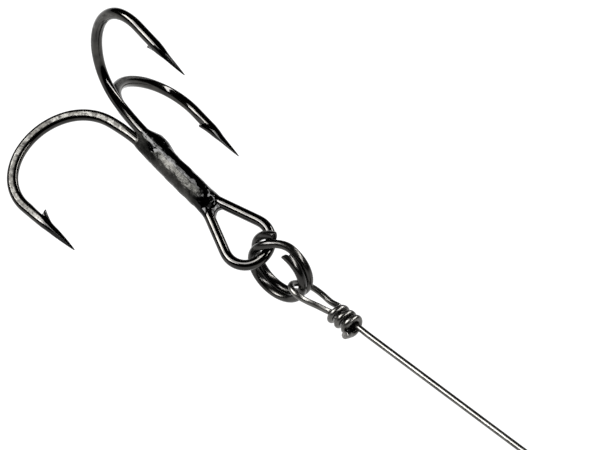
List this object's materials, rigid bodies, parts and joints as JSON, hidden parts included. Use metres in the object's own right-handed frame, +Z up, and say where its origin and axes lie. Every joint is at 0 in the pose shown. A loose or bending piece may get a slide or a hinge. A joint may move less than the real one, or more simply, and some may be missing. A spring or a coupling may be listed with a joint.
{
  "type": "treble hook",
  "caption": "Black treble fishing hook lying on a table, with a split ring in its eye and a single-strand wire leader looped through the ring.",
  "frame": {"origin": "centre of the footprint of the hook and its split ring, on the table they lie on", "axes": "+X along the shank from the bends towards the eye and the leader, +Z up from the table"},
  "size_m": [0.0992, 0.0328, 0.029],
  "materials": {
    "black_nickel_wire": "glossy black nickel on drawn and forged steel wire",
    "black_nickel_single": "glossy black nickel on drawn and forged steel wire",
    "black_braze": "rough black-nickel-plated braze",
    "black_ring_steel": "satin black nickel on flattened steel wire",
    "bright_leader_steel": "polished grey steel wire"
  },
  "bodies": {
    "hook": {"double_hook_wire": "black_nickel_wire", "single_hook_wire": "black_nickel_single", "braze": "black_braze"},
    "ring": {"split_ring": "black_ring_steel"},
    "leader": {"leader_wire": "bright_leader_steel"}
  },
  "joints": [
    {"name": "ring_swing", "type": "hinge", "parent": "hook", "child": "ring", "pos_m": [0.01532, 0.00108, 0.00699], "axis": [0.4132, -0.7432, -0.5262], "range_deg": [-20, 120]},
    {"name": "leader_swing", "type": "hinge", "parent": "ring", "child": "leader", "pos_m": [0.02188, 0.0018, 0.00315], "axis": [0.4073, 0.0016, 0.9133], "range_deg": [-120, 120]}
  ]
}
